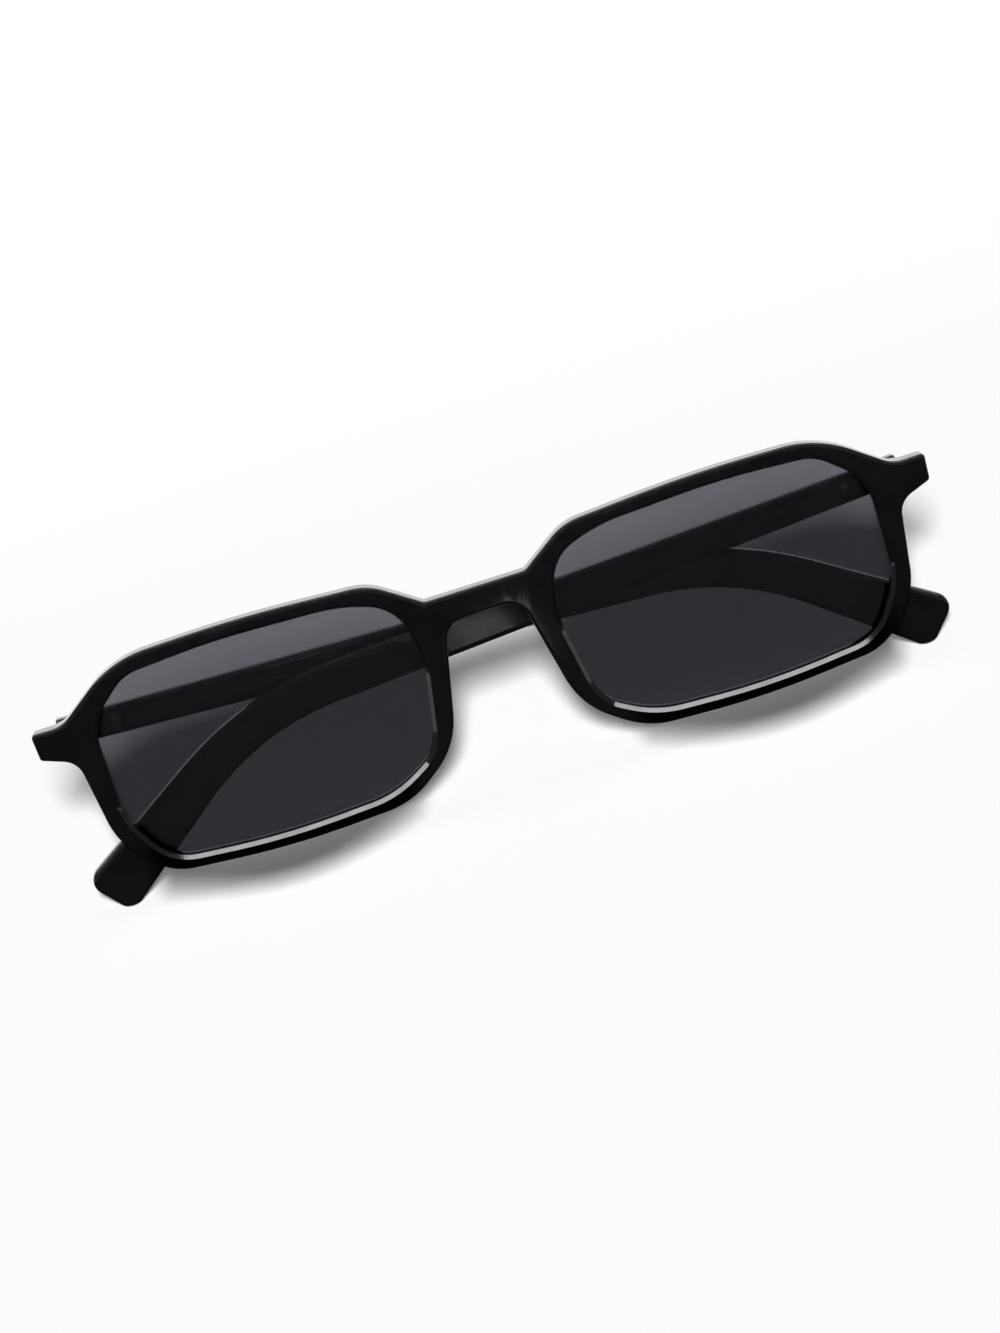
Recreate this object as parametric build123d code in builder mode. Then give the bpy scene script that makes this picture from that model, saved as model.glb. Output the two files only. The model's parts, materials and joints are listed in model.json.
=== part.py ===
from build123d import *
import os
from math import cos, radians, sin, sqrt, tan

# Narrow rectangle sunglasses, folded, in millimetres.
# X runs across the front, to the wearer's left. Y runs from the front to the back.
# Z runs up, towards the brow. The folded part stands on its two temple tips at Z = 0.
# Its origin is the middle of its outer size, on the surface that it stands on.

# Lens openings and the rims round them
lens_width = 51.9
lens_height = 32.3
bridge_gap = 21.5
rim_top = 2.4
rim_bottom = 2.0
rim_side = 4.0
rim_nose = 2.7

# Bridge, nose arch and endpieces, with heights above the rims' lower edge
bridge_top = 30.4
bridge_height = 4.1
bridge_corner_radius = 1.0
nose_arch_width = 11.9
nose_arch_radius = 3.5
endpiece_length = 5.7
endpiece_height = 4.25
endpiece_middle = 26.0
endpiece_end_slant = 0.3
endpiece_root_drop = 1.8
endpiece_corner_radius = 0.7

# Depth of the front, and the large circle that it is bent along
front_thickness = 4.4
wrap_radius = 420.0
outer_edge_radius = 0.6
opening_bevel = 0.6

# Lenses in their grooves
lens_thickness = 1.8
lens_setback = 1.2
groove_depth = 0.5
lens_clearance = 0.03

# Nose rests behind the rims
nose_pad_depth = 4.4
nose_pad_height = 12.0
nose_pad_width = 3.0
nose_pad_tip_radius = 0.6
nose_pad_splay = 0.5
nose_pad_lean = 11.5
nose_pad_across_share = 0.94
nose_pad_up_share = 0.37
nose_pad_tip_share = 0.72
bond_gap = 0.02

# Hinge: two front knuckles, one temple knuckle and a washer at each side of it
barrel_radius = 1.35
outer_knuckle = 1.15
middle_knuckle = 1.3
washer_thickness = 0.18
axial_play = 0.01
barrel_clearance = 0.15
hinge_drop = 0.2
web_width = 1.7
screw_radius = 0.62
screw_clearance = 0.03
screw_head_radius = 0.95
screw_head_height = 0.5
screw_slot_width = 0.3
screw_slot_depth = 0.28
washer_inset = 0.08

# Hinge leaves and their small screws
leaf_thickness = 0.8
leaf_height = 3.2
leaf_corner_radius = 0.5
front_leaf_length = 5.5
temple_leaf_length = 9.2
leaf_clearance = 0.02
leaf_screw_radius = 0.3
leaf_screw_head_radius = 0.5
leaf_screw_head_height = 0.3
leaf_screw_length = 2.3
leaf_screw_slot = 0.16
leaf_screw_margin = 0.6
temple_leaf_screw_gap = 3.4

# Block behind each endpiece that holds the front leaf
block_rise = 0.2
block_end_inset = 0.4
block_height_inset = 0.1
block_length = 7.7
block_edge_radius = 0.5
block_root_depth = 3.0
block_back_radius = 0.3

# Temples, along their own length from the hinge axis
temple_thickness = 3.4
temple_inset = 0.2
temple_height = 4.4
temple_bend_at = 106.1
temple_bend_height = 6.6
temple_ear_length = 39.3
temple_tip_width = 8.8
temple_butt_gap = 0.06
droop_angle = 2.3
ear_angle = 32.6
tip_face_angle = 48.4
bend_top_radius = 56.0
bend_bottom_radius = 42.0
tip_corner_radius = 2.4
hinge_end_radius = 0.4
temple_edge_radius = 0.9
hinge_end_edge_radius = 0.25
core_radius = 0.6
core_clearance = 0.02
core_bend_radius = 48.0
core_start_gap = 1.2
core_end_gap = 6.0

# Rest positions: degrees folded past parallel, so the right temple crosses behind the left one
fold_past_parallel = {1: 1.7, -1: -1.7}
SIDES = {"left": 1, "right": -1}

# One overrun serves every cut
overrun = 1.0

# Corners of half the outline, outside the bridge and the endpiece.
# Each row is a share across the rim, a share up the front and the arc's reach, which is the
# share that it takes of the shorter side beside it.
brow_corner_shares = [
    (0.129, 0.968, 0.30), (0.481, 1.0, 0.48), (0.834, 0.977, 0.45),
]
lower_corner_shares = [
    (0.966, 0.230, 0.35), (0.855, 0.035, 0.40), (0.511, 0.0, 0.48),
    (0.187, 0.031, 0.37), (0.034, 0.210, 0.44),
]
endpiece_top_root_share = 0.1
endpiece_root_reach_shares = (0.36, 0.36)

# Corners of a lens opening: a share across it, a share up it and the arc's reach
opening_corner_shares = [
    (0.994, 0.280, 0.38), (0.898, 0.039, 0.45), (0.549, 0.0, 0.47), (0.199, 0.035, 0.45),
    (0.050, 0.174, 0.36), (0.0, 0.621, 0.38), (0.036, 0.896, 0.47), (0.193, 0.980, 0.45),
    (0.580, 1.0, 0.44), (0.866, 0.962, 0.26), (1.0, 0.775, 0.46),
]

# Sizes that follow from the driving dimensions
front_height = rim_bottom + lens_height + rim_top
rim_start = bridge_gap / 2 - rim_nose
rim_width = rim_nose + lens_width + rim_side
half_width = rim_start + rim_width + endpiece_length
endpiece_top = endpiece_middle + endpiece_height / 2
endpiece_bottom = endpiece_middle - endpiece_height / 2
hinge_offset = barrel_radius + barrel_clearance
hinge_height = 2 * (outer_knuckle + washer_thickness) + middle_knuckle + 4 * axial_play
hinge_x = half_width - temple_inset - temple_thickness - hinge_offset
front_leaf_screw_offset = front_leaf_length / 2 - leaf_screw_margin
rear_radius = wrap_radius - front_thickness


def setback(radius, x):
    """How far behind the bridge a circle of the wrap lies at a distance x from the middle."""
    return wrap_radius - sqrt(radius**2 - x**2)


# Outline of a temple: straight, then bent down behind the ear, wider at its tip
top_bend = (temple_bend_at, temple_height / 2 - temple_bend_at * tan(radians(droop_angle)))
tip_top = (
    top_bend[0] + temple_ear_length * cos(radians(ear_angle)),
    top_bend[1] - temple_ear_length * sin(radians(ear_angle)),
)
tip_bottom = (
    tip_top[0] - temple_tip_width * cos(radians(tip_face_angle)),
    tip_top[1] - temple_tip_width * sin(radians(tip_face_angle)),
)
bottom_bend = (temple_bend_at, top_bend[1] - temple_bend_height)
temple_end = hinge_offset - temple_butt_gap
temple_corners = [
    (-temple_end, temple_height / 2),
    top_bend,
    tip_top,
    tip_bottom,
    bottom_bend,
    (-temple_end, -temple_height / 2),
]
temple_corner_radii = [
    hinge_end_radius, bend_top_radius, tip_corner_radius,
    tip_corner_radius, bend_bottom_radius, hinge_end_radius,
]


def temple_outline(side):
    """Side view of a temple; the right one is drawn upside down on its own plane."""
    with BuildSketch() as outline:
        with BuildLine():
            FilletPolyline([(s, side * t) for s, t in temple_corners],
                           radius=temple_corner_radii, close=True)
        make_face()
    return outline.sketch


# Heights above the surface, and depths with the folded part centred on Y = 0
tip_reach = temple_outline(1).bounding_box()
hinge_middle = endpiece_middle - hinge_drop
rims_above_floor = max(0, -tip_reach.min.Y - hinge_middle)
hinge_z = rims_above_floor + hinge_middle
block_depth = setback(rear_radius, half_width) + block_rise
rest_fold = radians(fold_past_parallel[-1])
folded_depth = (
    block_depth + hinge_offset
    + (hinge_offset + temple_thickness) * cos(rest_fold) - tip_reach.max.X * sin(rest_fold)
)
front_y = -folded_depth / 2
wrap_y = front_y + wrap_radius
block_y = front_y + block_depth
hinge_y = block_y + hinge_offset


def temple_plane(side):
    """Plane through a hinge axis, X along the folded temple and Z away from the front."""
    fold = radians(fold_past_parallel[side])
    return Plane(
        origin=(side * hinge_x, hinge_y, hinge_z),
        x_dir=(-side * cos(fold), -sin(fold), 0),
        z_dir=(-side * sin(fold), cos(fold), 0),
    )


def front_corners():
    """Right-hand half of the front's corners, from the bridge's top round to the nose arch.

    Each one is its place and either a radius or its arc's reach, with zero for the other.
    """
    def place(u_share, v_share, reach_share):
        return rim_start + u_share * rim_width, v_share * front_height, 0, reach_share

    root_top = half_width - endpiece_length * (1 - endpiece_top_root_share)
    top_reach_share, bottom_reach_share = endpiece_root_reach_shares
    return [
        (rim_start, bridge_top, bridge_corner_radius, 0),
        *[place(*shares) for shares in brow_corner_shares],
        (root_top, endpiece_top, 0, top_reach_share),
        (half_width, endpiece_top, endpiece_corner_radius, 0),
        (half_width - endpiece_end_slant, endpiece_bottom, endpiece_corner_radius, 0),
        (rim_start + rim_width, endpiece_bottom - endpiece_root_drop, 0, bottom_reach_share),
        *[place(*shares) for shares in lower_corner_shares],
        (nose_arch_width / 2, bridge_top - bridge_height, nose_arch_radius, 0),
    ]


def arc_radius(before, point, after, reach_share):
    """Radius of a corner's arc that takes a share of the shorter side beside it."""
    back = Vector(*before) - Vector(*point)
    ahead = Vector(*after) - Vector(*point)
    reach = reach_share * min(back.length, ahead.length)
    return reach * tan(radians(back.get_angle(ahead)) / 2)


def rounded_outline(corners):
    """A closed outline with an arc at each corner, above the surface that the part stands on."""
    points = [(x, rims_above_floor + z) for x, z, radius, reach_share in corners]
    radii = [
        radius + arc_radius(points[place - 1], points[place],
                            points[(place + 1) % len(points)], reach_share)
        for place, (x, z, radius, reach_share) in enumerate(corners)
    ]
    with BuildSketch() as outline:
        with BuildLine():
            FilletPolyline(points, radius=radii, close=True)
        make_face()
    return outline.sketch


def front_outline():
    """Front view of the whole front, without the lens openings."""
    half = front_corners()
    other_half = [(-x, z, radius, reach_share) for x, z, radius, reach_share in reversed(half)]
    with BuildSketch(Plane.XZ) as outline:
        add(rounded_outline(half + other_half))
    return outline.sketch


def opening_outline(side, growth):
    """Front view of one lens opening, grown outwards all round."""
    corners = [
        (side * (bridge_gap / 2 + u_share * lens_width), rim_bottom + v_share * lens_height,
         0, reach_share)
        for u_share, v_share, reach_share in opening_corner_shares
    ]
    with BuildSketch(Plane.XZ) as outline:
        add(rounded_outline(corners))
        offset(amount=growth)
    return outline.sketch


def wrap_shell(front_offset, thickness):
    """A curved sheet that follows the wrap, from its setback behind the front face."""
    with BuildPart() as shell:
        with BuildSketch(Plane.XY.offset(rims_above_floor - overrun)):
            with Locations((0, wrap_y)):
                Circle(wrap_radius - front_offset)
                Circle(wrap_radius - front_offset - thickness, mode=Mode.SUBTRACT)
        extrude(amount=front_height + 2 * overrun)
    return shell.part


def wrapped(outline, front_offset, thickness):
    """A front view outline made as thick as a curved sheet of the wrap."""
    sheet = wrap_shell(front_offset, thickness)
    with BuildPart() as piece:
        extrude(outline, amount=folded_depth, both=True)
        add(sheet, mode=Mode.INTERSECT)
    return piece.part


def leaf_screw_places(side):
    """Planes of the four leaf screws' heads: two on the front leaf, two on the temple leaf."""
    front = [
        Plane(origin=(side * hinge_x + end * front_leaf_screw_offset, block_y, hinge_z),
              x_dir=(1, 0, 0), z_dir=(0, 1, 0))
        for end in (-1, 1)
    ]
    fold = temple_plane(side)
    inner = fold.offset(hinge_offset)
    first = temple_leaf_length - web_width / 2 - leaf_screw_margin - temple_leaf_screw_gap
    temple = [
        Plane(origin=inner.from_local_coords((first + step * temple_leaf_screw_gap, 0, 0)),
              x_dir=fold.x_dir, z_dir=-fold.z_dir)
        for step in (0, 1)
    ]
    return front, temple


def leaf_screws(planes, clearance):
    """Small cheese-head screws, sunk flush with a leaf; a clearance makes their holes."""
    with BuildPart() as screws:
        for plane in planes:
            with BuildSketch(plane):
                Circle(leaf_screw_head_radius + clearance)
            extrude(amount=-leaf_screw_head_height - clearance)
            with BuildSketch(plane):
                Circle(leaf_screw_radius + clearance)
            extrude(amount=-leaf_screw_length - clearance)
    return screws.part


def cut_screw_slots(planes):
    """Straight slots across the heads of small screws, to be taken away from them."""
    with BuildPart() as slots:
        for plane in planes:
            with BuildSketch(plane):
                Rectangle(2 * leaf_screw_head_radius, leaf_screw_slot)
            extrude(amount=-leaf_screw_head_height / 2)
    return slots.part


def leaf_plate(plane, length, growth):
    """A hinge leaf's plate, sunk into the piece under a plane; growth makes its recess."""
    with BuildPart() as plate:
        with BuildSketch(plane):
            RectangleRounded(length + 2 * growth, leaf_height + 2 * growth, leaf_corner_radius)
        extrude(amount=-leaf_thickness - growth)
    return plate.part


def front_leaf_plane(side):
    """Middle of a front leaf, on the back of the endpiece's block."""
    return Plane(origin=(side * hinge_x, block_y, hinge_z), x_dir=(1, 0, 0), z_dir=(0, 1, 0))


def temple_leaf_plane(side):
    """Middle of a temple leaf, on the temple's inner face."""
    fold = temple_plane(side)
    inner = fold.offset(hinge_offset)
    return Plane(origin=inner.from_local_coords(((temple_leaf_length - web_width) / 2, 0, 0)),
                 x_dir=fold.x_dir, z_dir=-fold.z_dir)


def core_path(side):
    """Middle line of a temple's wire core."""
    tip_middle = ((tip_top[0] + tip_bottom[0]) / 2, (tip_top[1] + tip_bottom[1]) / 2)
    bend_middle = (temple_bend_at, top_bend[1] - temple_bend_height / 2)
    run = sqrt((tip_middle[0] - bend_middle[0])**2 + (tip_middle[1] - bend_middle[1])**2)
    keep = 1 - core_end_gap / run
    end = tuple(b + keep * (t - b) for b, t in zip(bend_middle, tip_middle))
    start = (temple_leaf_length - web_width / 2 + core_start_gap, 0)
    middle = temple_plane(side).offset(hinge_offset + temple_thickness / 2)
    with BuildLine(middle) as path:
        FilletPolyline([(s, side * t) for s, t in (start, bend_middle, end)],
                       radius=core_bend_radius)
    return path.wires()[0]


def core_rod(side, growth):
    """The wire core, or its channel when it is grown."""
    path = core_path(side)
    with BuildPart() as rod:
        with BuildSketch(Plane(origin=path @ 0, z_dir=path % 0)):
            Circle(core_radius + growth)
        sweep(path=path)
    return rod.part


def hinge_block(side):
    """Flat-backed block behind an endpiece, from inside the plate to the hinge leaf."""
    middle_x = half_width - block_end_inset - block_length / 2
    with BuildPart() as block:
        with BuildSketch(Plane.XZ.offset(-block_y)):
            with Locations((side * middle_x, rims_above_floor + endpiece_middle)):
                RectangleRounded(block_length, endpiece_height - 2 * block_height_inset,
                                 block_edge_radius)
        extrude(amount=block_root_depth)
        fillet(block.faces().sort_by(Axis.Y)[-1].edges(), block_back_radius)
    return block.part


def nose_pad_planes(side):
    """Planes of a nose rest's root, inside the rim, and of its smaller end."""
    x = side * (rim_start + nose_pad_across_share * rim_nose)
    z = rims_above_floor + nose_pad_up_share * front_height
    lean = radians(nose_pad_lean)
    across = (cos(lean), 0, side * sin(lean))
    back = front_y + front_thickness
    root = Plane(origin=(x, back - overrun, z), x_dir=across, z_dir=(0, 1, 0))
    tip = Plane(origin=(x + side * nose_pad_splay, back + nose_pad_depth, z),
                x_dir=across, z_dir=(0, 1, 0))
    return root, tip


# Front: a curved plate with softened edges, two openings, grooves and hinge blocks
os.makedirs("parts", exist_ok=True)
plate = wrapped(front_outline(), 0, front_thickness)
hinge_blocks = [hinge_block(side) for side in SIDES.values()]
openings = [opening_outline(side, 0) for side in SIDES.values()]
groove_growth = groove_depth + lens_clearance
grooves = [
    wrapped(opening_outline(side, groove_growth),
            lens_setback - lens_clearance, lens_thickness + 2 * lens_clearance)
    for side in SIDES.values()
]

with BuildPart() as front_frame:
    add(plate)
    fillet(front_frame.faces().sort_by(SortBy.AREA)[-2:].edges(), outer_edge_radius)
    for opening in openings:
        extrude(opening, amount=folded_depth, both=True, mode=Mode.SUBTRACT)
    front_face = front_frame.faces().sort_by(SortBy.AREA)[-2:].sort_by(Axis.Y)[0]
    chamfer([wire.edges() for wire in front_face.inner_wires()], opening_bevel)
    for block in hinge_blocks:
        add(block)
    for groove in grooves:
        add(groove, mode=Mode.SUBTRACT)
    for side in SIDES.values():
        add(leaf_plate(front_leaf_plane(side), front_leaf_length, leaf_clearance),
            mode=Mode.SUBTRACT)
        add(leaf_screws(leaf_screw_places(side)[0], leaf_clearance), mode=Mode.SUBTRACT)
front_frame.part.label = "front_frame"
export_step(front_frame.part, "parts/front_frame.step")

for name, side in SIDES.items():
    with BuildPart() as lens:
        add(wrapped(opening_outline(side, groove_depth), lens_setback, lens_thickness))
    lens.part.label = f"lens_{name}"
    export_step(lens.part, f"parts/lens_{name}.step")

# Nose rests, lofted from the rim's back to a smaller, outward-leaning face
rear_disc_radius = rear_radius - bond_gap
for name, side in SIDES.items():
    with BuildPart() as nose_pad:
        root, tip = nose_pad_planes(side)
        with BuildSketch(root):
            SlotOverall(nose_pad_height, nose_pad_width, rotation=90)
        with BuildSketch(tip):
            SlotOverall(nose_pad_height * nose_pad_tip_share,
                        nose_pad_width * nose_pad_tip_share, rotation=90)
        loft()
        fillet(nose_pad.faces().sort_by(Axis.Y)[-1].edges(), nose_pad_tip_radius)
        with BuildSketch(Plane.XY.offset(rims_above_floor)):
            with Locations((0, wrap_y)):
                Circle(rear_disc_radius)
        extrude(amount=front_height, mode=Mode.INTERSECT)
    nose_pad.part.label = f"nose_pad_{name}"
    export_step(nose_pad.part, f"parts/nose_pad_{name}.step")

# Hinges: a leaf on the front, a leaf on the temple, washers and an axle screw
knuckle_floor = hinge_z - hinge_height / 2
washer_levels = [
    knuckle_floor + outer_knuckle + axial_play,
    knuckle_floor + hinge_height - outer_knuckle - axial_play - washer_thickness,
]
for name, side in SIDES.items():
    axis_place = (side * hinge_x, hinge_y)
    front_screws, temple_screws = leaf_screw_places(side)
    fold = temple_plane(side)

    with BuildPart() as front_hinge:
        add(leaf_plate(front_leaf_plane(side), front_leaf_length, 0))
        for level in (knuckle_floor, knuckle_floor + hinge_height - outer_knuckle):
            with BuildSketch(Plane.XY.offset(level)):
                with Locations(axis_place):
                    Circle(barrel_radius)
                with Locations((side * hinge_x, hinge_y - hinge_offset / 2)):
                    Rectangle(web_width, hinge_offset)
            extrude(amount=outer_knuckle)
        with BuildSketch(Plane.XY.offset(knuckle_floor)):
            with Locations(axis_place):
                Circle(screw_radius + screw_clearance)
        extrude(amount=hinge_height, mode=Mode.SUBTRACT)
        with BuildSketch(Plane.XY.offset(knuckle_floor + hinge_height)):
            with Locations(axis_place):
                Circle(screw_head_radius + screw_clearance)
        extrude(amount=-screw_head_height - screw_clearance, mode=Mode.SUBTRACT)
        add(leaf_screws(front_screws, leaf_clearance), mode=Mode.SUBTRACT)
    front_hinge.part.label = f"front_hinge_{name}"
    export_step(front_hinge.part, f"parts/front_hinge_{name}.step")

    with BuildPart() as temple_hinge:
        add(leaf_plate(temple_leaf_plane(side), temple_leaf_length, 0))
        with BuildSketch(fold):
            Rectangle(web_width, middle_knuckle)
        extrude(amount=hinge_offset)
        with BuildSketch(Plane.XY.offset(hinge_z - middle_knuckle / 2)):
            with Locations(axis_place):
                Circle(barrel_radius)
        extrude(amount=middle_knuckle)
        with BuildSketch(Plane.XY.offset(knuckle_floor)):
            with Locations(axis_place):
                Circle(screw_radius + screw_clearance)
        extrude(amount=hinge_height, mode=Mode.SUBTRACT)
        add(leaf_screws(temple_screws, leaf_clearance), mode=Mode.SUBTRACT)
    temple_hinge.part.label = f"temple_hinge_{name}"
    export_step(temple_hinge.part, f"parts/temple_hinge_{name}.step")

    with BuildPart() as hinge_washers:
        for level in washer_levels:
            with BuildSketch(Plane.XY.offset(level)):
                with Locations(axis_place):
                    Circle(barrel_radius - washer_inset)
                    Circle(screw_radius + screw_clearance, mode=Mode.SUBTRACT)
            extrude(amount=washer_thickness)
    hinge_washers.part.label = f"hinge_washers_{name}"
    export_step(hinge_washers.part, f"parts/hinge_washers_{name}.step")

    with BuildPart() as hinge_screw:
        with BuildSketch(Plane.XY.offset(knuckle_floor)):
            with Locations(axis_place):
                Circle(screw_radius)
        extrude(amount=hinge_height)
        with BuildSketch(Plane.XY.offset(knuckle_floor + hinge_height)):
            with Locations(axis_place):
                Circle(screw_head_radius)
        extrude(amount=-screw_head_height)
        with BuildSketch(Plane.XY.offset(knuckle_floor + hinge_height)):
            with Locations(axis_place):
                Rectangle(2 * screw_head_radius, screw_slot_width)
        extrude(amount=-screw_slot_depth, mode=Mode.SUBTRACT)
    hinge_screw.part.label = f"hinge_screw_{name}"
    export_step(hinge_screw.part, f"parts/hinge_screw_{name}.step")

    for leaf, places in (("front", front_screws), ("temple", temple_screws)):
        with BuildPart() as small_screws:
            add(leaf_screws(places, 0))
            add(cut_screw_slots(places), mode=Mode.SUBTRACT)
        small_screws.part.label = f"{leaf}_leaf_screws_{name}"
        export_step(small_screws.part, f"parts/{leaf}_leaf_screws_{name}.step")

# Temples with their leaf recess and the closed channel of the wire core
for name, side in SIDES.items():
    fold = temple_plane(side)
    with BuildPart() as temple:
        with BuildSketch(fold.offset(hinge_offset)):
            add(temple_outline(side))
        extrude(amount=temple_thickness)
        inner_face, outer_face = temple.faces().sort_by(SortBy.AREA)[-2:].sort_by(Axis.Y)
        fillet(inner_face.edges() + outer_face.edges(), temple_edge_radius)
        add(leaf_plate(temple_leaf_plane(side), temple_leaf_length, leaf_clearance),
            mode=Mode.SUBTRACT)
        add(leaf_screws(leaf_screw_places(side)[1], leaf_clearance), mode=Mode.SUBTRACT)
        add(core_rod(side, core_clearance), mode=Mode.SUBTRACT)
    temple.part.label = f"temple_{name}"
    export_step(temple.part, f"parts/temple_{name}.step")

    with BuildPart() as temple_core:
        add(core_rod(side, 0))
    temple_core.part.label = f"temple_core_{name}"
    export_step(temple_core.part, f"parts/temple_core_{name}.step")
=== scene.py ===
# %% [markdown]
# # Narrow rectangle sunglasses
# The object is a folded pair of sunglasses. It has a gloss black front with two narrow rims,
# smoke lenses, and two temples that cross behind the lenses. This lesson dresses a measured
# model of it. The sizes are already right, so what is made here is the polish of the surfaces,
# the lenses, the small screws, the light and the camera. All lengths are in metres.

import json
import math

import bmesh
import bpy
from mathutils import Matrix, Vector
from mathutils.geometry import convex_hull_2d


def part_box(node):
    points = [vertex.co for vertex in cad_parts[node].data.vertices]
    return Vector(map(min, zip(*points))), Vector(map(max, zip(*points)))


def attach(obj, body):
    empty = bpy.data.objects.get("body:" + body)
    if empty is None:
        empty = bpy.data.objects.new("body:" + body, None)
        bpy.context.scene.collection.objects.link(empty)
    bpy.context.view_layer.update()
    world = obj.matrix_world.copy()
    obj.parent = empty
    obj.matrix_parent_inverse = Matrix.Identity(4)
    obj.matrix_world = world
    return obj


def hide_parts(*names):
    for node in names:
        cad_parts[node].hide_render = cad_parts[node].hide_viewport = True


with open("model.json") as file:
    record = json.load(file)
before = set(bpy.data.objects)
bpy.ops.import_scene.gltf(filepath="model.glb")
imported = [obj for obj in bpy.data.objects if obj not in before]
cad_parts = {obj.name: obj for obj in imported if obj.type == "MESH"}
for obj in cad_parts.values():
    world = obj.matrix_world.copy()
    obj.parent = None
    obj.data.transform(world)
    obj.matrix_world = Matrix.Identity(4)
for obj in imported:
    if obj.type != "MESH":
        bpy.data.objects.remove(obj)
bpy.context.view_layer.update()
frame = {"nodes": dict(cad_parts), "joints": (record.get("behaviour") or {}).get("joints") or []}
MM = 0.001
nodes = frame["nodes"]
front_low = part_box("front_frame")[0]

# %% [markdown]
# ## Colours and shader nodes
# Colours are picked as sRGB hex values, as a paint chart or a picture editor gives them. The
# renderer works with linear light, so one function turns them. A second small function adds a
# node, sets it up and links it, and a third one adds a node that calculates. The shader trees
# and the Geometry Nodes tree use both.

# %% Colours and nodes
def linear(hex_colour):
    """An sRGB hex colour as the linear colour with alpha that a shader socket takes."""
    parts = [int(hex_colour[place:place + 2], 16) / 255 for place in (1, 3, 5)]
    return (*[p / 12.92 if p <= 0.04045 else ((p + 0.055) / 1.055) ** 2.4 for p in parts], 1.0)


def add_node(tree, kind, inputs=None, **settings):
    """Adds a node; an input is either a value or the output socket that it is linked to."""
    node = tree.nodes.new(kind)
    for name, value in settings.items():
        setattr(node, name, value)
    for name, value in (inputs or {}).items():
        if isinstance(value, bpy.types.NodeSocket):
            tree.links.new(value, node.inputs[name])
        else:
            node.inputs[name].default_value = value
    return node


def calculate(tree, operation, first, second):
    """The result of one calculation on two values or output sockets."""
    return add_node(tree, "ShaderNodeMath", {0: first, 1: second},
                    operation=operation).outputs[0]


print("frame black in linear light:", [round(part, 5) for part in linear("#060607")[:3]])

# %% [markdown]
# ## Parts of every finish
# The finishes below are built from the same few steps. A noise on Object coordinates stays put on
# its piece, and its size is the real size of the marks. It can blend two colours, change the
# shine a little and raise the surface by a real depth. The steps are written once here, which
# keeps each recipe short enough to read. A noise seldom leaves the middle of its range, so the
# shine goes from one end to the other within that middle.

# %% Noise, blend, shine and bump
NOISE_MIDDLE = {"From Min": 0.3, "From Max": 0.7}


def empty_material(name):
    """A material with no nodes yet, and its node tree."""
    material = bpy.data.materials.new(name)
    material.use_nodes = True
    material.node_tree.nodes.clear()
    return material, material.node_tree


def noise(tree, size, detail, stretch=None):
    """Noise on Object coordinates with marks of a real size; a low stretch draws them out."""
    place = add_node(tree, "ShaderNodeTexCoord").outputs["Object"]
    if stretch:
        place = add_node(tree, "ShaderNodeMapping", {
            "Vector": place, "Scale": stretch}).outputs["Vector"]
    return add_node(tree, "ShaderNodeTexNoise", {
        "Vector": place, "Scale": 1 / size, "Detail": detail}).outputs["Fac"]


def blend(tree, share, dark, light):
    """A colour between two hex colours."""
    return add_node(tree, "ShaderNodeMix", {
        "Factor": share, "A": linear(dark), "B": linear(light)},
        data_type="RGBA").outputs["Result"]


def shine(tree, marks, smooth, dull):
    """A roughness between smooth and dull that follows the marks."""
    return add_node(tree, "ShaderNodeMapRange", {
        "Value": marks, **NOISE_MIDDLE, "To Min": smooth, "To Max": dull}).outputs["Result"]


def bump(tree, marks, strength, depth):
    """A surface raised by the marks up to a real depth."""
    return add_node(tree, "ShaderNodeBump", {
        "Height": marks, "Strength": strength, "Distance": depth}).outputs["Normal"]


def finish_surface(tree, inputs):
    """The surface itself, joined to the material's output."""
    surface = add_node(tree, "ShaderNodeBsdfPrincipled", inputs)
    add_node(tree, "ShaderNodeOutputMaterial", {"Surface": surface.outputs["BSDF"]})


print("ready:", ", ".join(step.__name__ for step in (noise, blend, shine, bump)))

# %% [markdown]
# ## Gloss black acetate
# The front and the temples are cellulose acetate, a plastic made from cotton that is milled from
# sheet, then tumbled with wooden pegs and buffed until it shines like wet ink. A plain black with
# a low roughness would look like glass. Buffed acetate is never quite flat, so it gets a very
# shallow wave a few millimetres long, and its shine changes a little where the buffing wheel
# pressed harder. A thin clear coat stands for the last pass with polishing wax.

# %% Black acetate
ACETATE_IOR = 1.48
ACETATE_WAVE = 7 * MM
BUFFING_PATCH = 2.5 * MM
WAVE_DEPTH = 0.02 * MM

black_acetate, tree = empty_material("buffed_black_acetate")
waves = noise(tree, ACETATE_WAVE, 2.0)
patches = noise(tree, BUFFING_PATCH, 4.0)
finish_surface(tree, {
    "Base Color": blend(tree, waves, "#030304", "#060607"),
    "Roughness": shine(tree, patches, 0.07, 0.14), "Normal": bump(tree, waves, 0.15, WAVE_DEPTH),
    "IOR": ACETATE_IOR, "Coat Weight": 0.3, "Coat Roughness": 0.03})
print("made", black_acetate.name)

# %% [markdown]
# The nose rests are the same sheet, glued to the rims and filed to shape by hand after the
# buffing. They are polished only with a fine cloth, so they look satin beside the rims: a higher
# roughness, with short file marks as a fine bump.

# %% Nose rest acetate
FILE_MARK = 0.3 * MM
FILE_MARK_DEPTH = 0.01 * MM
UP_AND_DOWN = (1.0, 1.0, 0.25)

nose_rest_acetate, tree = empty_material("hand_filed_black_acetate")
marks = noise(tree, FILE_MARK, 3.0, UP_AND_DOWN)
finish_surface(tree, {
    "Base Color": blend(tree, marks, "#09090a", "#101011"),
    "Roughness": shine(tree, marks, 0.24, 0.36),
    "Normal": bump(tree, marks, 0.2, FILE_MARK_DEPTH), "IOR": ACETATE_IOR})
print("made", nose_rest_acetate.name)

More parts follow.
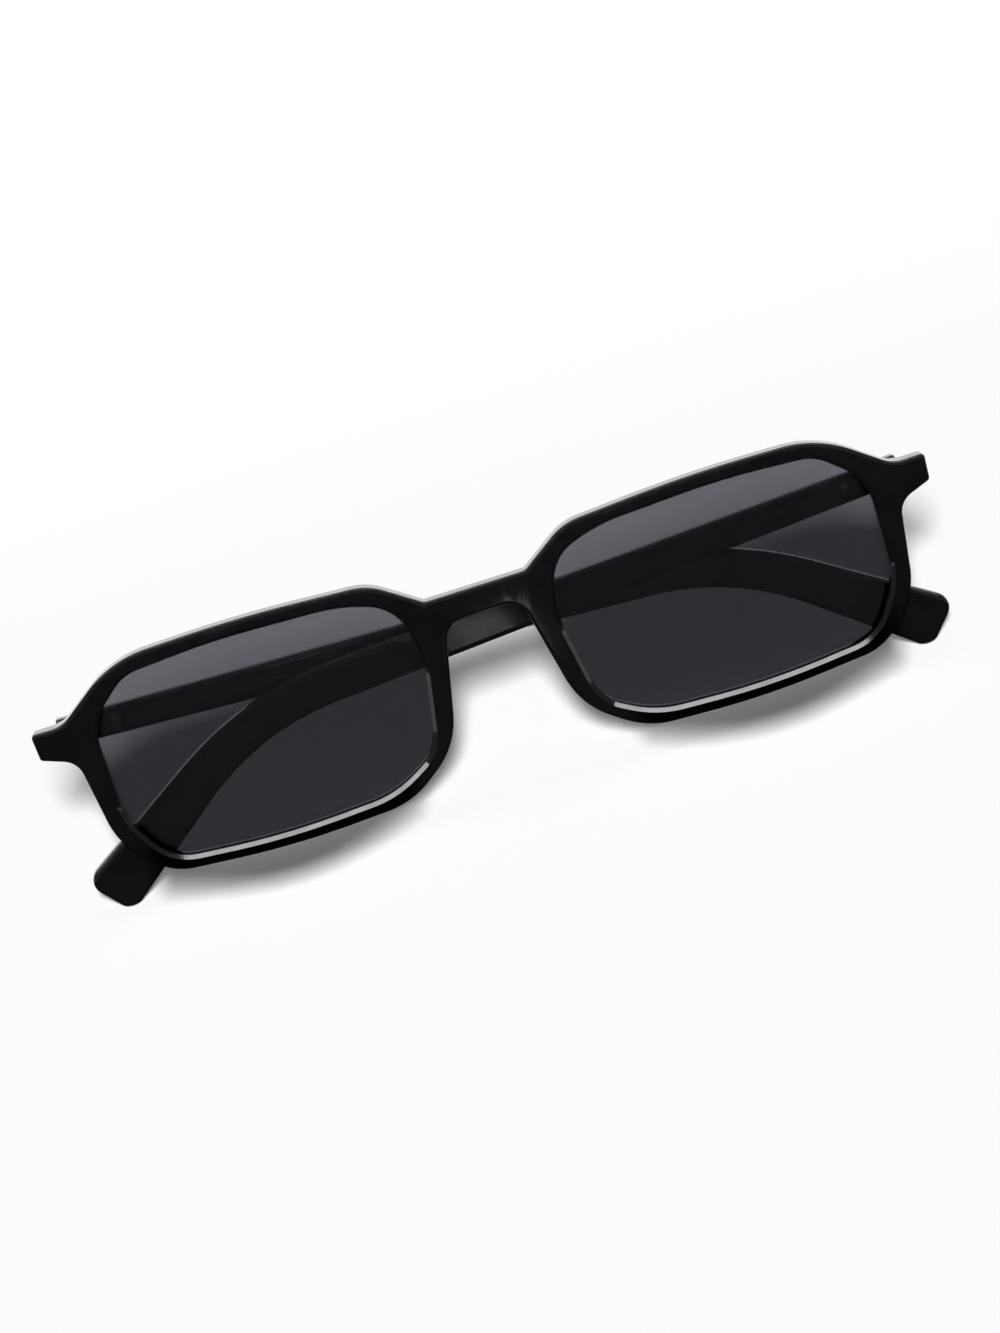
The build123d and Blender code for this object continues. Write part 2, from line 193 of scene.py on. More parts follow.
# %% [markdown]
# ## Smoke polycarbonate
# The lenses are moulded clear and then soaked in a hot bath of smoke dye, which gives an even
# grey with a slight violet cast. The skin takes the dye, so a clear transmission with a coloured
# surface is closer than a coloured block. A dye bath is never perfectly still, and the cloud that
# it leaves is a few centimetres wide and only just there. The mould is mirror polished and the
# lens keeps its hard coat, so nothing scatters: the roughness is zero.

# %% Smoke lens
DYE_CLOUD = 30 * MM
POLYCARBONATE_IOR = 1.58

smoke_polycarbonate, tree = empty_material("dyed_smoke_polycarbonate")
cloud = noise(tree, DYE_CLOUD, 1.0)
finish_surface(tree, {
    "Base Color": blend(tree, cloud, "#67666d", "#6a6971"), "Roughness": 0.0,
    "IOR": POLYCARBONATE_IOR, "Transmission Weight": 1.0})
print("made", smoke_polycarbonate.name)

# %% [markdown]
# ## Hinge metals
# The hinge leaves are nickel silver, stamped, drawn over a belt, which leaves straight hairlines,
# and plated with black nickel, so that no bright metal shows above the black endpieces. The
# screws are turned stainless steel, bright and cool, with fine rings round the axis that show
# only as a softer shine. The wire cores are drawn nickel silver. One function makes all three,
# because only the colour, the lines and the shine differ. A metal keeps the default IOR.

# %% Metals
LINE_DEPTH_SHARE = 0.1


def metal(name, dark, light, line_spacing, stretch, smooth, dull):
    """A bare metal with fine lines; stretch sets the direction that they run along."""
    material, tree = empty_material(name)
    lines = noise(tree, line_spacing, 2.0, stretch)
    finish_surface(tree, {
        "Base Color": blend(tree, lines, dark, light),
        "Roughness": shine(tree, lines, smooth, dull), "Metallic": 1.0,
        "Normal": bump(tree, lines, 0.2, line_spacing * LINE_DEPTH_SHARE)})
    print("made", name)
    return material


black_nickel = metal("belt_brushed_black_nickel", "#3c3a38", "#575450", line_spacing=0.15 * MM,
                     stretch=(0.15, 1.0, 1.0), smooth=0.24, dull=0.38)
screw_steel = metal("turned_stainless_steel", "#b4b5b6", "#d6d6d5", line_spacing=0.12 * MM,
                    stretch=(1.0, 1.0, 0.4), smooth=0.18, dull=0.30)
core_wire = metal("drawn_nickel_silver_wire", "#a39c8b", "#c2bcad", line_spacing=0.20 * MM,
                  stretch=(0.1, 1.0, 1.0), smooth=0.22, dull=0.34)

# %% [markdown]
# ## Nylon
# The washers are natural nylon, a milky plastic with a soft gloss. Its grain comes from the mould
# and is too fine to see as relief, so it only changes the tone and the shine.

# %% Nylon
NYLON_GRAIN = 0.25 * MM
NYLON_IOR = 1.53

natural_nylon, tree = empty_material("moulded_natural_nylon")
grain = noise(tree, NYLON_GRAIN, 2.0)
sheen = add_node(tree, "ShaderNodeMapRange", {"Value": grain, "To Min": 0.38, "To Max": 0.5})
finish_surface(tree, {
    "Base Color": blend(tree, grain, "#d5d0c2", "#e6e2d6"),
    "Roughness": sheen.outputs["Result"], "IOR": NYLON_IOR})
print("made", natural_nylon.name)

# %% [markdown]
# ## Which finish goes on which piece
# Every measured piece gets its finish here, also those that a finer piece replaces below, so
# that the finer one can take it over. The washers and the wire cores are shown as measured: they
# are plain turned rings and a plain drawn wire in reality too.

# %% Finishes by piece
FINISHES = {
    "front_frame": black_acetate, "temple_left": black_acetate, "temple_right": black_acetate,
    "nose_pad": nose_rest_acetate, "lens": smoke_polycarbonate,
    "front_hinge": black_nickel, "temple_hinge": black_nickel, "hinge_washers": natural_nylon,
    "temple_core": core_wire, "hinge_screw": screw_steel, "front_leaf_screws": screw_steel,
    "temple_leaf_screws": screw_steel,
}
for name, measured in nodes.items():
    finish = next(f for start, f in FINISHES.items() if name.startswith(start))
    measured.data.materials.clear()
    measured.data.materials.append(finish)
print(len(nodes), "pieces have a finish")

# %% [markdown]
# ## Front, temples and nose rests
# A measured piece comes as loose triangles, face by face, and light breaks at their seams. A
# remesh would soften the crisp bevel round each lens opening, which is the brightest line of the
# whole object. So each piece is copied, its seams are merged, and only edges over a set angle
# stay sharp. Weighted normals then let the large faces rule the small roundings beside them,
# which keeps the flats flat and lets the highlight run unbroken along each rounding.

# %% Merged copies with clean shading
MERGE_REACH = 0.0005 * MM


def merged_mesh(name, mesh_name):
    """A measured piece's triangles as one connected mesh."""
    shape = bmesh.new()
    shape.from_mesh(nodes[name].data)
    bmesh.ops.remove_doubles(shape, verts=shape.verts, dist=MERGE_REACH)
    bmesh.ops.dissolve_degenerate(shape, edges=shape.edges, dist=MERGE_REACH)
    shape.verts.index_update()
    points = [vertex.co.copy() for vertex in shape.verts]
    faces = [[vertex.index for vertex in face.verts] for face in shape.faces]
    shape.free()
    mesh = bpy.data.meshes.new(mesh_name)
    mesh.from_pydata(points, [], faces)
    mesh.materials.append(nodes[name].data.materials[0])
    return mesh


def put_in_scene(name, data):
    """A new object in the scene that shows a mesh, a lamp or a camera."""
    new_object = bpy.data.objects.new(name, data)
    bpy.context.scene.collection.objects.link(new_object)
    return new_object


def shown_piece(mesh, replaced, body):
    """Puts a finished mesh on its body, in place of the measured pieces that it stands for."""
    piece = put_in_scene(mesh.name, mesh)
    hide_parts(*replaced)
    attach(piece, body)
    return piece


POLISHED = {
    "front_frame": ("black_acetate", "front"),
    "temple_left": ("black_acetate", "left_temple"),
    "temple_right": ("black_acetate", "right_temple"),
    "nose_pad_left": ("nose_rest", "front"),
    "nose_pad_right": ("nose_rest", "front"),
}
SHARP_OVER = math.radians(35)
for name, (slot, body) in POLISHED.items():
    mesh = merged_mesh(name, "polished_" + name)
    mesh.shade_smooth()
    mesh.set_sharp_from_angle(angle=SHARP_OVER)
    piece = shown_piece(mesh, [name], body)
    weighted = piece.modifiers.new("weighted normals", "WEIGHTED_NORMAL")
    weighted.keep_sharp = True
    print(piece.name, len(mesh.polygons), "faces")

# %% [markdown]
# ## Lenses
# A lens is a curved sheet of even thickness, cut to the rim's groove. The measured lens is made
# of long thin triangles, which bend the view through it in streaks. A neat grid is better: its
# columns run up the lens between the lower and upper edge of the measured outline, and each
# point lies on the large circle that the whole front is bent along.

# %% Lens sheets
WRAP_RADIUS = 420 * MM
LENS_SETBACK = 1.2 * MM
LENS_THICKNESS = 1.8 * MM
GROOVE_PLAY = 0.05 * MM
LENS_COLUMNS = 72
LENS_ROWS = 28
wrap_centre_y = front_low.y + WRAP_RADIUS


def lens_outline(name):
    """The measured lens's outline as seen from the front: points (x, z) in order."""
    points = [(vertex.co.x, vertex.co.z) for vertex in nodes[name].data.vertices]
    return [points[place] for place in convex_hull_2d(points)]


def edge_heights(outline, x):
    """Lowest and highest z of the outline at one x."""
    heights = []
    for (x0, z0), (x1, z1) in zip(outline, outline[1:] + outline[:1]):
        if x0 != x1 and min(x0, x1) <= x <= max(x0, x1):
            heights.append(z0 + (z1 - z0) * (x - x0) / (x1 - x0))
    return min(heights) + GROOVE_PLAY, max(heights) - GROOVE_PLAY


def lens_sheet(name, mesh_name):
    """The lens's front surface as a grid on the wrap, closer together at its two ends."""
    outline = lens_outline(name)
    x_low, x_high = min(x for x, z in outline), max(x for x, z in outline)
    middle, reach = (x_low + x_high) / 2, (x_high - x_low) / 2 - GROOVE_PLAY
    radius = WRAP_RADIUS - LENS_SETBACK
    points = []
    for column in range(LENS_COLUMNS + 1):
        x = middle - reach * math.cos(math.pi * column / LENS_COLUMNS)
        z_low, z_high = edge_heights(outline, x)
        y = wrap_centre_y - math.sqrt(radius**2 - x**2)
        points += [(x, y, z_low + (z_high - z_low) * row / LENS_ROWS)
                   for row in range(LENS_ROWS + 1)]
    faces = []
    for column in range(LENS_COLUMNS):
        for row in range(LENS_ROWS):
            start = column * (LENS_ROWS + 1) + row
            beside = start + LENS_ROWS + 1
            faces.append((start, beside, beside + 1, start + 1))
    mesh = bpy.data.meshes.new(mesh_name)
    mesh.from_pydata(points, [], faces)
    mesh.shade_smooth()
    mesh.materials.append(smoke_polycarbonate)
    return mesh


print((LENS_COLUMNS + 1) * (LENS_ROWS + 1), "points on each lens front")

# %% [markdown]
# Solidify gives each sheet its thickness, to the inside of the wrap circle. Its result is taken
# over as a plain mesh, so that the cut edge all round can be marked as sharp.

# %% Thick lenses
CUT_EDGE = math.radians(60)


def made_mesh(maker, name):
    """The mesh that an object's modifiers make; the object itself is taken away."""
    made = maker.evaluated_get(bpy.context.evaluated_depsgraph_get())
    mesh = bpy.data.meshes.new_from_object(made)
    mesh.name = name
    bpy.data.objects.remove(maker)
    return mesh


for name in ("lens_left", "lens_right"):
    blank = put_in_scene(name + "_sheet", lens_sheet(name, name + "_sheet"))
    thicken = blank.modifiers.new("lens thickness", "SOLIDIFY")
    thicken.thickness = LENS_THICKNESS
    thicken.offset = -1.0
    lens = made_mesh(blank, "smoke_" + name)
    lens.set_sharp_from_angle(angle=CUT_EDGE)
    piece = shown_piece(lens, [name], "front")
    print(piece.name, len(lens.polygons), "faces,",
          f"normal y {lens.polygons[0].normal.y:.2f} in front")

# %% [markdown]
# ## Hinge leaves and knuckles
# The hinges are stamped from sheet and tumbled, so none of their edges is knife sharp. The
# measured ones are. A small bevel catches the light along each edge, as the tumbled one does.
# The bevel needs whole flat faces, so the copy's flat triangles are dissolved into them first.

# %% Hinges
TUMBLED_EDGE = 0.07 * MM
TUMBLED_OVER = math.radians(40)
FLAT_WITHIN = math.radians(1)
for side in ("left", "right"):
    for leaf, body in (("front", "front"), ("temple", side + "_temple")):
        name = f"{leaf}_hinge_{side}"
        mesh = merged_mesh(name, "tumbled_" + name)
        shape = bmesh.new()
        shape.from_mesh(mesh)
        bmesh.ops.dissolve_limit(shape, angle_limit=FLAT_WITHIN, verts=shape.verts,
                                 edges=shape.edges)
        shape.to_mesh(mesh)
        shape.free()
        mesh.shade_smooth()
        piece = shown_piece(mesh, [name], body)
        softened = piece.modifiers.new("tumbled edges", "BEVEL")
        softened.width = TUMBLED_EDGE
        softened.segments = 2
        softened.limit_method = "ANGLE"
        softened.angle_limit = TUMBLED_OVER
        softened.harden_normals = True
        print(piece.name, len(mesh.polygons), "faces")

# %% [markdown]
# ## Screws
# Ten slotted screws hold the glasses together: two hinge screws and eight small ones in the
# leaves. They are all the same shape at different sizes, so one Geometry Nodes tree makes them
# at given points: a head and a shank joined into one solid, and a slot cut across the head. A
# real screw stops wherever it is tight, so each slot is turned by a random angle with a fixed
# seed. The tree's inputs are the sizes, and each body of the glasses gets its own mesh.
#
# The first half of the tree makes one screw. Its shank starts inside the head, since two faces in
# one plane would join unreliably. The saw is a box three head radii long and two slot depths
# high, so that half of it stands above the head. The slivers that its cut leaves are merged away.

# %% One screw
BAR_SIDES = 40
SLIVER = 0.004 * MM
SAW_LENGTH = 3.0
SAW_HEIGHT = 2.0

screw_tree = bpy.data.node_groups.new("slotted screws", "GeometryNodeTree")
screw_tree.interface.new_socket("Places", in_out="INPUT", socket_type="NodeSocketGeometry")
for name in ("Head radius", "Head height", "Shank radius", "Length", "Slot width", "Slot depth"):
    screw_tree.interface.new_socket(name, in_out="INPUT", socket_type="NodeSocketFloat")
screw_tree.interface.new_socket("Facing", in_out="INPUT", socket_type="NodeSocketVector")
screw_tree.interface.new_socket("Screws", in_out="OUTPUT", socket_type="NodeSocketGeometry")

given = add_node(screw_tree, "NodeGroupInput").outputs


def half(socket, sign):
    """Half of a length, towards or away from the slot."""
    return calculate(screw_tree, "MULTIPLY", socket, sign * 0.5)


def turned_bar(radius, top, bottom):
    """A round bar between two depths under the head's plane."""
    bar = add_node(screw_tree, "GeometryNodeMeshCylinder", {
        "Vertices": BAR_SIDES, "Radius": radius,
        "Depth": calculate(screw_tree, "SUBTRACT", bottom, top)})
    both_ends = calculate(screw_tree, "ADD", bottom, top)
    down = add_node(screw_tree, "ShaderNodeCombineXYZ", {"Z": half(both_ends, -1)})
    return add_node(screw_tree, "GeometryNodeTransform", {
        "Geometry": bar.outputs["Mesh"], "Translation": down.outputs[0]}).outputs["Geometry"]


head = turned_bar(given["Head radius"], 0.0, given["Head height"])
shank = turned_bar(given["Shank radius"], half(given["Head height"], 1), given["Length"])
blank = add_node(screw_tree, "GeometryNodeMeshBoolean", operation="UNION")
for part in (shank, head):
    screw_tree.links.new(part, blank.inputs["Mesh 2"])
saw = add_node(screw_tree, "ShaderNodeCombineXYZ", {
    "X": calculate(screw_tree, "MULTIPLY", given["Head radius"], SAW_LENGTH),
    "Y": given["Slot width"],
    "Z": calculate(screw_tree, "MULTIPLY", given["Slot depth"], SAW_HEIGHT)})
cut = add_node(screw_tree, "GeometryNodeMeshCube", {"Size": saw.outputs[0]})
screw = add_node(screw_tree, "GeometryNodeMeshBoolean", {
    "Mesh 1": blank.outputs["Mesh"], "Mesh 2": cut.outputs["Mesh"]}, operation="DIFFERENCE")
clean = add_node(screw_tree, "GeometryNodeMergeByDistance", {
    "Geometry": screw.outputs["Mesh"], "Distance": SLIVER})
print("one screw:", len(screw_tree.nodes), "nodes")

# %% [markdown]
# The second half puts a screw at each place, faces it, turns it by its random angle and gives it
# its steel.

# %% Screws at their places
SLOT_SEED = 4
facing = add_node(screw_tree, "FunctionNodeEulerToRotation", {"Euler": given["Facing"]})
placed = add_node(screw_tree, "GeometryNodeInstanceOnPoints", {
    "Points": given["Places"], "Instance": clean.outputs["Geometry"],
    "Rotation": facing.outputs["Rotation"]})
tight = add_node(screw_tree, "FunctionNodeRandomValue", {
    2: 0.0, 3: math.pi, "Seed": SLOT_SEED}, data_type="FLOAT")
turn = add_node(screw_tree, "ShaderNodeCombineXYZ", {"Z": tight.outputs[1]})
twist = add_node(screw_tree, "FunctionNodeEulerToRotation", {"Euler": turn.outputs[0]})
turned = add_node(screw_tree, "GeometryNodeRotateInstances", {
    "Instances": placed.outputs["Instances"], "Rotation": twist.outputs["Rotation"],
    "Local Space": True})
real = add_node(screw_tree, "GeometryNodeRealizeInstances", {
    "Geometry": turned.outputs["Instances"]})
steel = add_node(screw_tree, "GeometryNodeSetMaterial", {
    "Geometry": real.outputs["Geometry"], "Material": screw_steel})
add_node(screw_tree, "NodeGroupOutput", {"Screws": steel.outputs["Geometry"]})
print("screw tree:", len(screw_tree.nodes), "nodes")

# %% [markdown]
# The screws' places follow from the hinge axes, which the measured model gives. The front
# screws stand on the back of the endpieces and face backwards. The temple screws stand on the
# folded temples' inner faces, so they face forwards and share the temples' small turn: at rest
# each temple is folded 1.7 degrees from parallel, and the two lie one behind the other.

# %% Screw places
LEAF_SCREW = {"Head radius": 0.5 * MM, "Head height": 0.3 * MM, "Shank radius": 0.3 * MM,
              "Length": 2.3 * MM, "Slot width": 0.16 * MM, "Slot depth": 0.15 * MM}
HINGE_SCREW = {"Head radius": 0.95 * MM, "Head height": 0.5 * MM, "Shank radius": 0.62 * MM,
               "Length": 4.0 * MM, "Slot width": 0.3 * MM, "Slot depth": 0.28 * MM}
SIDES = {"left": 1, "right": -1}
HINGE_OFFSET = 1.5 * MM
FRONT_SCREW_OFFSET = 2.15 * MM
TEMPLE_SCREW_RUNS = (4.35 * MM, 7.75 * MM)
TEMPLE_TURN = math.radians(1.7)

hinge_axes = {joint["name"].split("_")[0]: Vector(joint["pos_m"]) for joint in frame["joints"]}
along = Vector((math.cos(TEMPLE_TURN), math.sin(TEMPLE_TURN), 0))
outwards = Vector((-math.sin(TEMPLE_TURN), math.cos(TEMPLE_TURN), 0))
front_places, axle_places = [], []
for side, sign in SIDES.items():
    axis = hinge_axes[side]
    front_places += [axis + Vector((step * FRONT_SCREW_OFFSET, -HINGE_OFFSET, 0))
                     for step in (-1, 1)]
    axle_places.append(Vector((axis.x, axis.y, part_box("hinge_screw_" + side)[1].z)))
temple_places = {
    side: [hinge_axes[side] - sign * run * along + HINGE_OFFSET * outwards
           for run in TEMPLE_SCREW_RUNS]
    for side, sign in SIDES.items()
}
print(len(front_places), "front,", sum(map(len, temple_places.values())), "temple,",
      len(axle_places), "hinge screws")

# %% [markdown]
# Each set of screws is made once and kept as a plain mesh. A small bevel after the tree stands
# for the edges that the lathe breaks, and both modifiers are gone once the mesh is kept.

# %% Screws as meshes
SCREW_EDGE = 0.03 * MM
SCREW_EDGE_OVER = math.radians(50)


def screws(name, places, sizes, facing, replaced, body):
    """Runs the tree on a set of points and puts the finished mesh on its body."""
    points = bpy.data.meshes.new(name + "_places")
    points.from_pydata(places, [], [])
    maker = put_in_scene(name + "_places", points)
    run = maker.modifiers.new("screws", "NODES")
    run.node_group = screw_tree
    sockets = {item.name: item.identifier for item in screw_tree.interface.items_tree}
    for size_name, value in {**sizes, "Facing": facing}.items():
        run[sockets[size_name]] = value
    soft = maker.modifiers.new("edge", "BEVEL")
    soft.width = SCREW_EDGE
    soft.segments = 2
    soft.limit_method = "ANGLE"
    soft.angle_limit = SCREW_EDGE_OVER
    soft.use_clamp_overlap = False
    mesh = made_mesh(maker, name)
    mesh.shade_smooth()
    mesh.set_sharp_from_angle(angle=SHARP_OVER)
    print(name, len(places), "screws,", len(mesh.polygons), "faces")
    return shown_piece(mesh, replaced, body)


BACKWARDS = (-math.pi / 2, 0, 0)
FORWARDS = (math.pi / 2, 0, TEMPLE_TURN)
UP = (0, 0, 0)
screws("slotted_front_leaf_screws", front_places, LEAF_SCREW, BACKWARDS,
       ["front_leaf_screws_left", "front_leaf_screws_right"], "front")
screws("slotted_hinge_screws", axle_places, HINGE_SCREW, UP,
       ["hinge_screw_left", "hinge_screw_right"], "front")
for side, places in temple_places.items():
    screws(f"slotted_temple_leaf_screws_{side}", places, LEAF_SCREW, FORWARDS,
           [f"temple_leaf_screws_{side}"], f"{side}_temple")

# %% [markdown]
# ## Floor
# The glasses stand on white paper that runs out of sight. Paper is a plain diffuse white. Near
# the glasses it keeps their shadow. Far from them the lamps fall off, and the paper would turn
# grey at the top of the picture, so it fades into an even white there. The white is written in
# the paper itself, for what the camera, the lenses and the polish see, and adds no light.

# %% White paper floor
FLOOR_REACH = 60.0
PAPER_FADE = {"From Min": 0.25, "From Max": 0.6}
PAPER_GLOW = 0.12


def seen_directly(tree):
    """1 for a ray that shows the picture, straight or by a reflection or a lens, else 0."""
    ray = add_node(tree, "ShaderNodeLightPath").outputs
    straight = calculate(tree, "MAXIMUM", ray["Is Camera Ray"], ray["Is Transmission Ray"])
    return calculate(tree, "MAXIMUM", straight, ray["Is Glossy Ray"])


def flat_sheet(name, x_low, y_low, x_high, y_high, z, material):
    """A flat rectangle that lies at a height z; it is put on no body of the glasses."""
    mesh = bpy.data.meshes.new(name)
    mesh.from_pydata([(x_low, y_low, z), (x_high, y_low, z), (x_high, y_high, z),
                      (x_low, y_high, z)], [], [(0, 1, 2, 3)])
    mesh.materials.append(material)
    sheet = put_in_scene(name, mesh)
    return sheet


white_paper, tree = empty_material("white_paper")
place = add_node(tree, "ShaderNodeTexCoord").outputs["Object"]
away = add_node(tree, "ShaderNodeVectorMath", {0: place}, operation="LENGTH").outputs["Value"]
far = add_node(tree, "ShaderNodeMapRange", {"Value": away, **PAPER_FADE},
               interpolation_type="SMOOTHSTEP").outputs["Result"]
seen = seen_directly(tree)
paper = add_node(tree, "ShaderNodeBsdfDiffuse", {"Color": linear("#eeeeee")})
glow = add_node(tree, "ShaderNodeEmission", {
    "Strength": calculate(tree, "MULTIPLY", seen, PAPER_GLOW)})
near = add_node(tree, "ShaderNodeAddShader", {0: paper.outputs[0], 1: glow.outputs[0]})
white = add_node(tree, "ShaderNodeEmission", {"Strength": 1.0})
both = add_node(tree, "ShaderNodeMixShader", {
    0: calculate(tree, "MULTIPLY", seen, far), 1: near.outputs[0], 2: white.outputs[0]})
add_node(tree, "ShaderNodeOutputMaterial", {"Surface": both.outputs[0]})
flat_sheet("floor", -FLOOR_REACH, -FLOOR_REACH, FLOOR_REACH, FLOOR_REACH, 0, white_paper)
print("floor", 2 * FLOOR_REACH, "m wide")

# %% [markdown]
# ## Black cards
# Gloss black shows whatever lies round it, and white paper all round would turn the front grey.
# Photographers of black things lay black cards just outside the picture, and the polish shows
# those. These cards lie on the paper in front of and under the glasses and are seen by
# reflections only. A gap between them lets the middle of the temples, which shows through the
# nose arch, pick up the white paper. Each card is written as its lowest x and y and its highest.

# %% Cards for the polish
CARD_HEIGHT = 0.3 * MM
X_LOW, X_HIGH, Y_LOW, Y_HIGH = -0.35, 0.35, -0.5, 0.03
GAP_X_LOW, GAP_X_HIGH, GAP_Y_LOW, GAP_Y_HIGH = 0.0, 0.013, -0.180, -0.125
CARDS = [
    (X_LOW, Y_LOW, GAP_X_LOW, Y_HIGH), (GAP_X_HIGH, Y_LOW, X_HIGH, Y_HIGH),
    (GAP_X_LOW, Y_LOW, GAP_X_HIGH, GAP_Y_LOW), (GAP_X_LOW, GAP_Y_HIGH, GAP_X_HIGH, Y_HIGH),
]


def hide_from(thing, *rays):
    """Hides a thing of the set from some kinds of rays."""
    for kind in rays:
        setattr(thing, "visible_" + kind, False)


card_black, tree = empty_material("black_card")
matt_black = add_node(tree, "ShaderNodeBsdfDiffuse", {"Color": linear("#050505")})
add_node(tree, "ShaderNodeOutputMaterial", {"Surface": matt_black.outputs[0]})
for number, (x_low, y_low, x_high, y_high) in enumerate(CARDS):
    card = flat_sheet(f"card_{number}", x_low, y_low, x_high, y_high, CARD_HEIGHT, card_black)
    hide_from(card, "camera", "diffuse", "transmission", "shadow", "volume_scatter")
print(len(CARDS), "cards")

# %% [markdown]
# ## Light
# Most of the light comes from one lamp low in front of the glasses, just above the camera. It
# lights the paper and throws the glasses' own shadow backwards. The eye meets that shadow
# through the lower half of the lenses, so they look darker there than above the temples, and
# the endpieces' shadows show beside the rims.
#
# What the polish shows is set apart from what lights the paper: a long narrow strip overhead
# draws the bright line along the lower bevels of the rims, a white wall behind draws the line
# along every upper edge, and the room is dark in front. The levels are set so that the paper is
# just white and nothing clips. The room comes first: a weak even light that fills the paper, and
# for reflections a dark room that turns white towards its back wall.

# %% Room
FILL = 0.07
DARK_ROOM = 0.12
BACK_WALL = {"From Min": 0.05, "From Max": 0.5}
world = bpy.data.worlds.new("studio")
bpy.context.scene.world = world
world.use_nodes = True
tree = world.node_tree
tree.nodes.clear()
ray = add_node(tree, "ShaderNodeLightPath").outputs
compass = add_node(tree, "ShaderNodeSeparateXYZ", {
    0: add_node(tree, "ShaderNodeTexCoord").outputs["Generated"]})
wall = add_node(tree, "ShaderNodeMapRange", {
    "Value": compass.outputs["Y"], **BACK_WALL, "To Min": DARK_ROOM})
reflected = calculate(tree, "MULTIPLY", wall.outputs["Result"], ray["Is Glossy Ray"])
straight = calculate(tree, "MAXIMUM", ray["Is Camera Ray"], ray["Is Transmission Ray"])
level = add_node(tree, "ShaderNodeMapRange", {
    "Value": calculate(tree, "MAXIMUM", straight, reflected), "To Min": FILL, "To Max": 1.0})
sky = add_node(tree, "ShaderNodeBackground", {"Strength": level.outputs["Result"]})
add_node(tree, "ShaderNodeOutputWorld", {"Surface": sky.outputs[0]})
print("fill", FILL)

# %% [markdown]
# Three lamps follow. A near lamp leaves the far paper dim, so the key lamp's light is made to grow
# with distance by just as much. The key lamp doesn't show in the polish. The strip and the wall
# show in the polish and light nothing else.

# %% Lamps
KEY_SPOT = Vector((0, front_low.y - 0.87, 0.228))
KEY_WATTS = 37.0
KEY_WIDTH = 0.05
KEY_DEPTH = 0.09
STRIP_SPOT = Vector((0, front_low.y - 0.123, 0.70))
STRIP_WATTS = 2.1
STRIP_WIDTH = 1.6
STRIP_DEPTH = 0.05
WALL_SPOT = Vector((0, 0.9, 0.22))
WALL_WATTS = 0.7
WALL_WIDTH = 2.4
WALL_DEPTH = 0.36


def add_lamp(name, shape, watts, spot, width, depth):
    """A flat lamp at a spot, turned towards the glasses."""
    lamp = bpy.data.lights.new(name, "AREA")
    lamp.shape = shape
    lamp.energy = watts
    lamp.size, lamp.size_y = width, depth
    lamp_object = put_in_scene(name, lamp)
    turn = spot.to_track_quat("Z", "Y").to_matrix().to_4x4()
    lamp_object.matrix_world = Matrix.Translation(spot) @ turn
    return lamp_object


key = add_lamp("front_key", "ELLIPSE", KEY_WATTS, KEY_SPOT, KEY_WIDTH, KEY_DEPTH)
hide_from(key, "glossy")
key.data.use_nodes = True
tree = key.data.node_tree
tree.nodes.clear()
steady = add_node(tree, "ShaderNodeLightFalloff", {"Strength": 1 / KEY_SPOT.length})
distance = add_node(tree, "ShaderNodeLightPath").outputs["Ray Length"]
beam = add_node(tree, "ShaderNodeEmission", {
    "Strength": calculate(tree, "MULTIPLY", steady.outputs["Constant"], distance)})
add_node(tree, "ShaderNodeOutputLight", {"Surface": beam.outputs[0]})
strip = add_lamp("overhead_shine", "RECTANGLE", STRIP_WATTS, STRIP_SPOT, STRIP_WIDTH, STRIP_DEPTH)
wall_shine = add_lamp("wall_shine", "RECTANGLE", WALL_WATTS, WALL_SPOT, WALL_WIDTH, WALL_DEPTH)
for lamp in (strip, wall_shine):
    hide_from(lamp, "diffuse", "transmission")
print("lamps:", [lamp.name for lamp in bpy.data.lights])

# %% [markdown]
# ## Flags
# The folded glasses stand on their temple tips, so light would slip under the rims. Two flags,
# which are black sheets that hang before the lamp and out of sight, stop it: their soft shadow
# joins the glasses' own. Each flag is drawn from its shadow. The points of the shadow's front
# edge, in mm on the paper, and two points 12 mm up at the rim are followed back towards the lamp
# until they meet the flags' plane.

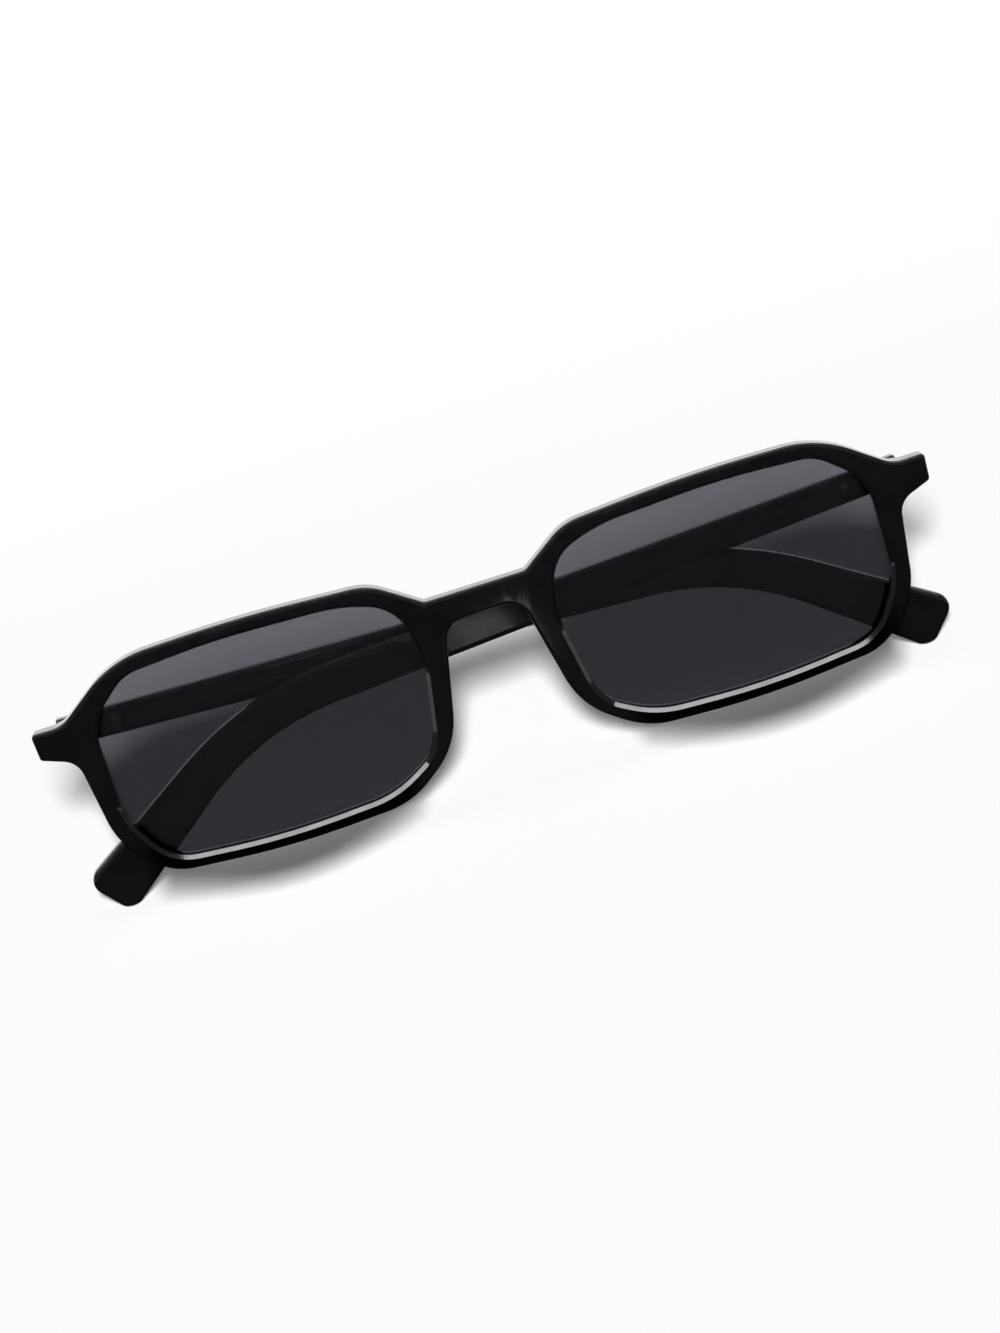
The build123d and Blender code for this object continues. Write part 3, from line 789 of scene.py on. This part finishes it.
# %% Flags before the lamp
FLAG_Y = -61 * MM
RIM_COVER = 12 * MM
SHADOW_FRONT = [(18, 7), (23, -3), (28, -10), (33, -15), (38, -17), (43, -16), (49, -11),
                (55, -4), (61, 4)]


def towards_key(point):
    """Where the line from a point to the key lamp crosses the flags' plane."""
    share = (FLAG_Y - point.y) / (KEY_SPOT.y - point.y)
    return point + (KEY_SPOT - point) * share


for side, sign in SIDES.items():
    lower = [towards_key(Vector((sign * x * MM, y * MM, 0))) for x, y in SHADOW_FRONT]
    upper = [towards_key(Vector((sign * x * MM, front_low.y, RIM_COVER)))
             for x in (SHADOW_FRONT[-1][0], SHADOW_FRONT[0][0])]
    mesh = bpy.data.meshes.new("flag_" + side)
    mesh.from_pydata(lower + upper, [], [range(len(lower + upper))])
    mesh.materials.append(card_black)
    flag = put_in_scene("flag_" + side, mesh)
    hide_from(flag, "camera", "diffuse", "glossy", "transmission", "volume_scatter")
    print(flag.name, "hangs from", round(min(p.z for p in lower) / MM, 1), "mm up")

# %% [markdown]
# ## Camera
# The picture was taken from a little above, straight at the front, with the camera rolled so
# that the glasses rise to the right. The distance sets how much nearer parts grow, and the lens
# follows from the height that the picture shows at that distance. Blender measures the lens
# against the longer side of the picture, which is its height.

# %% Camera
CAMERA_ELEVATION = math.radians(10.0)
CAMERA_ROLL = math.radians(-17.6)
CAMERA_DISTANCE = 0.7
SEEN_HEIGHT = 204.3 * MM
TARGET_HEIGHT = 20.56 * MM
SENSOR = 36.0

camera = bpy.data.cameras.new("camera")
camera.sensor_width = SENSOR
camera.lens = SENSOR * CAMERA_DISTANCE / SEEN_HEIGHT
camera_object = put_in_scene("camera", camera)
bpy.context.scene.camera = camera_object
back = Vector((0, -math.cos(CAMERA_ELEVATION), math.sin(CAMERA_ELEVATION)))
level_view = (-back).to_track_quat("-Z", "Y").to_matrix()
rolled = level_view @ Matrix.Rotation(CAMERA_ROLL, 3, "Z")
target = Vector((0, front_low.y, TARGET_HEIGHT))
camera_object.matrix_world = (Matrix.Translation(target + back * CAMERA_DISTANCE)
                              @ rolled.to_4x4())
bpy.context.scene.view_settings.view_transform = "Standard"
print(f"lens {camera.lens:.0f} mm")
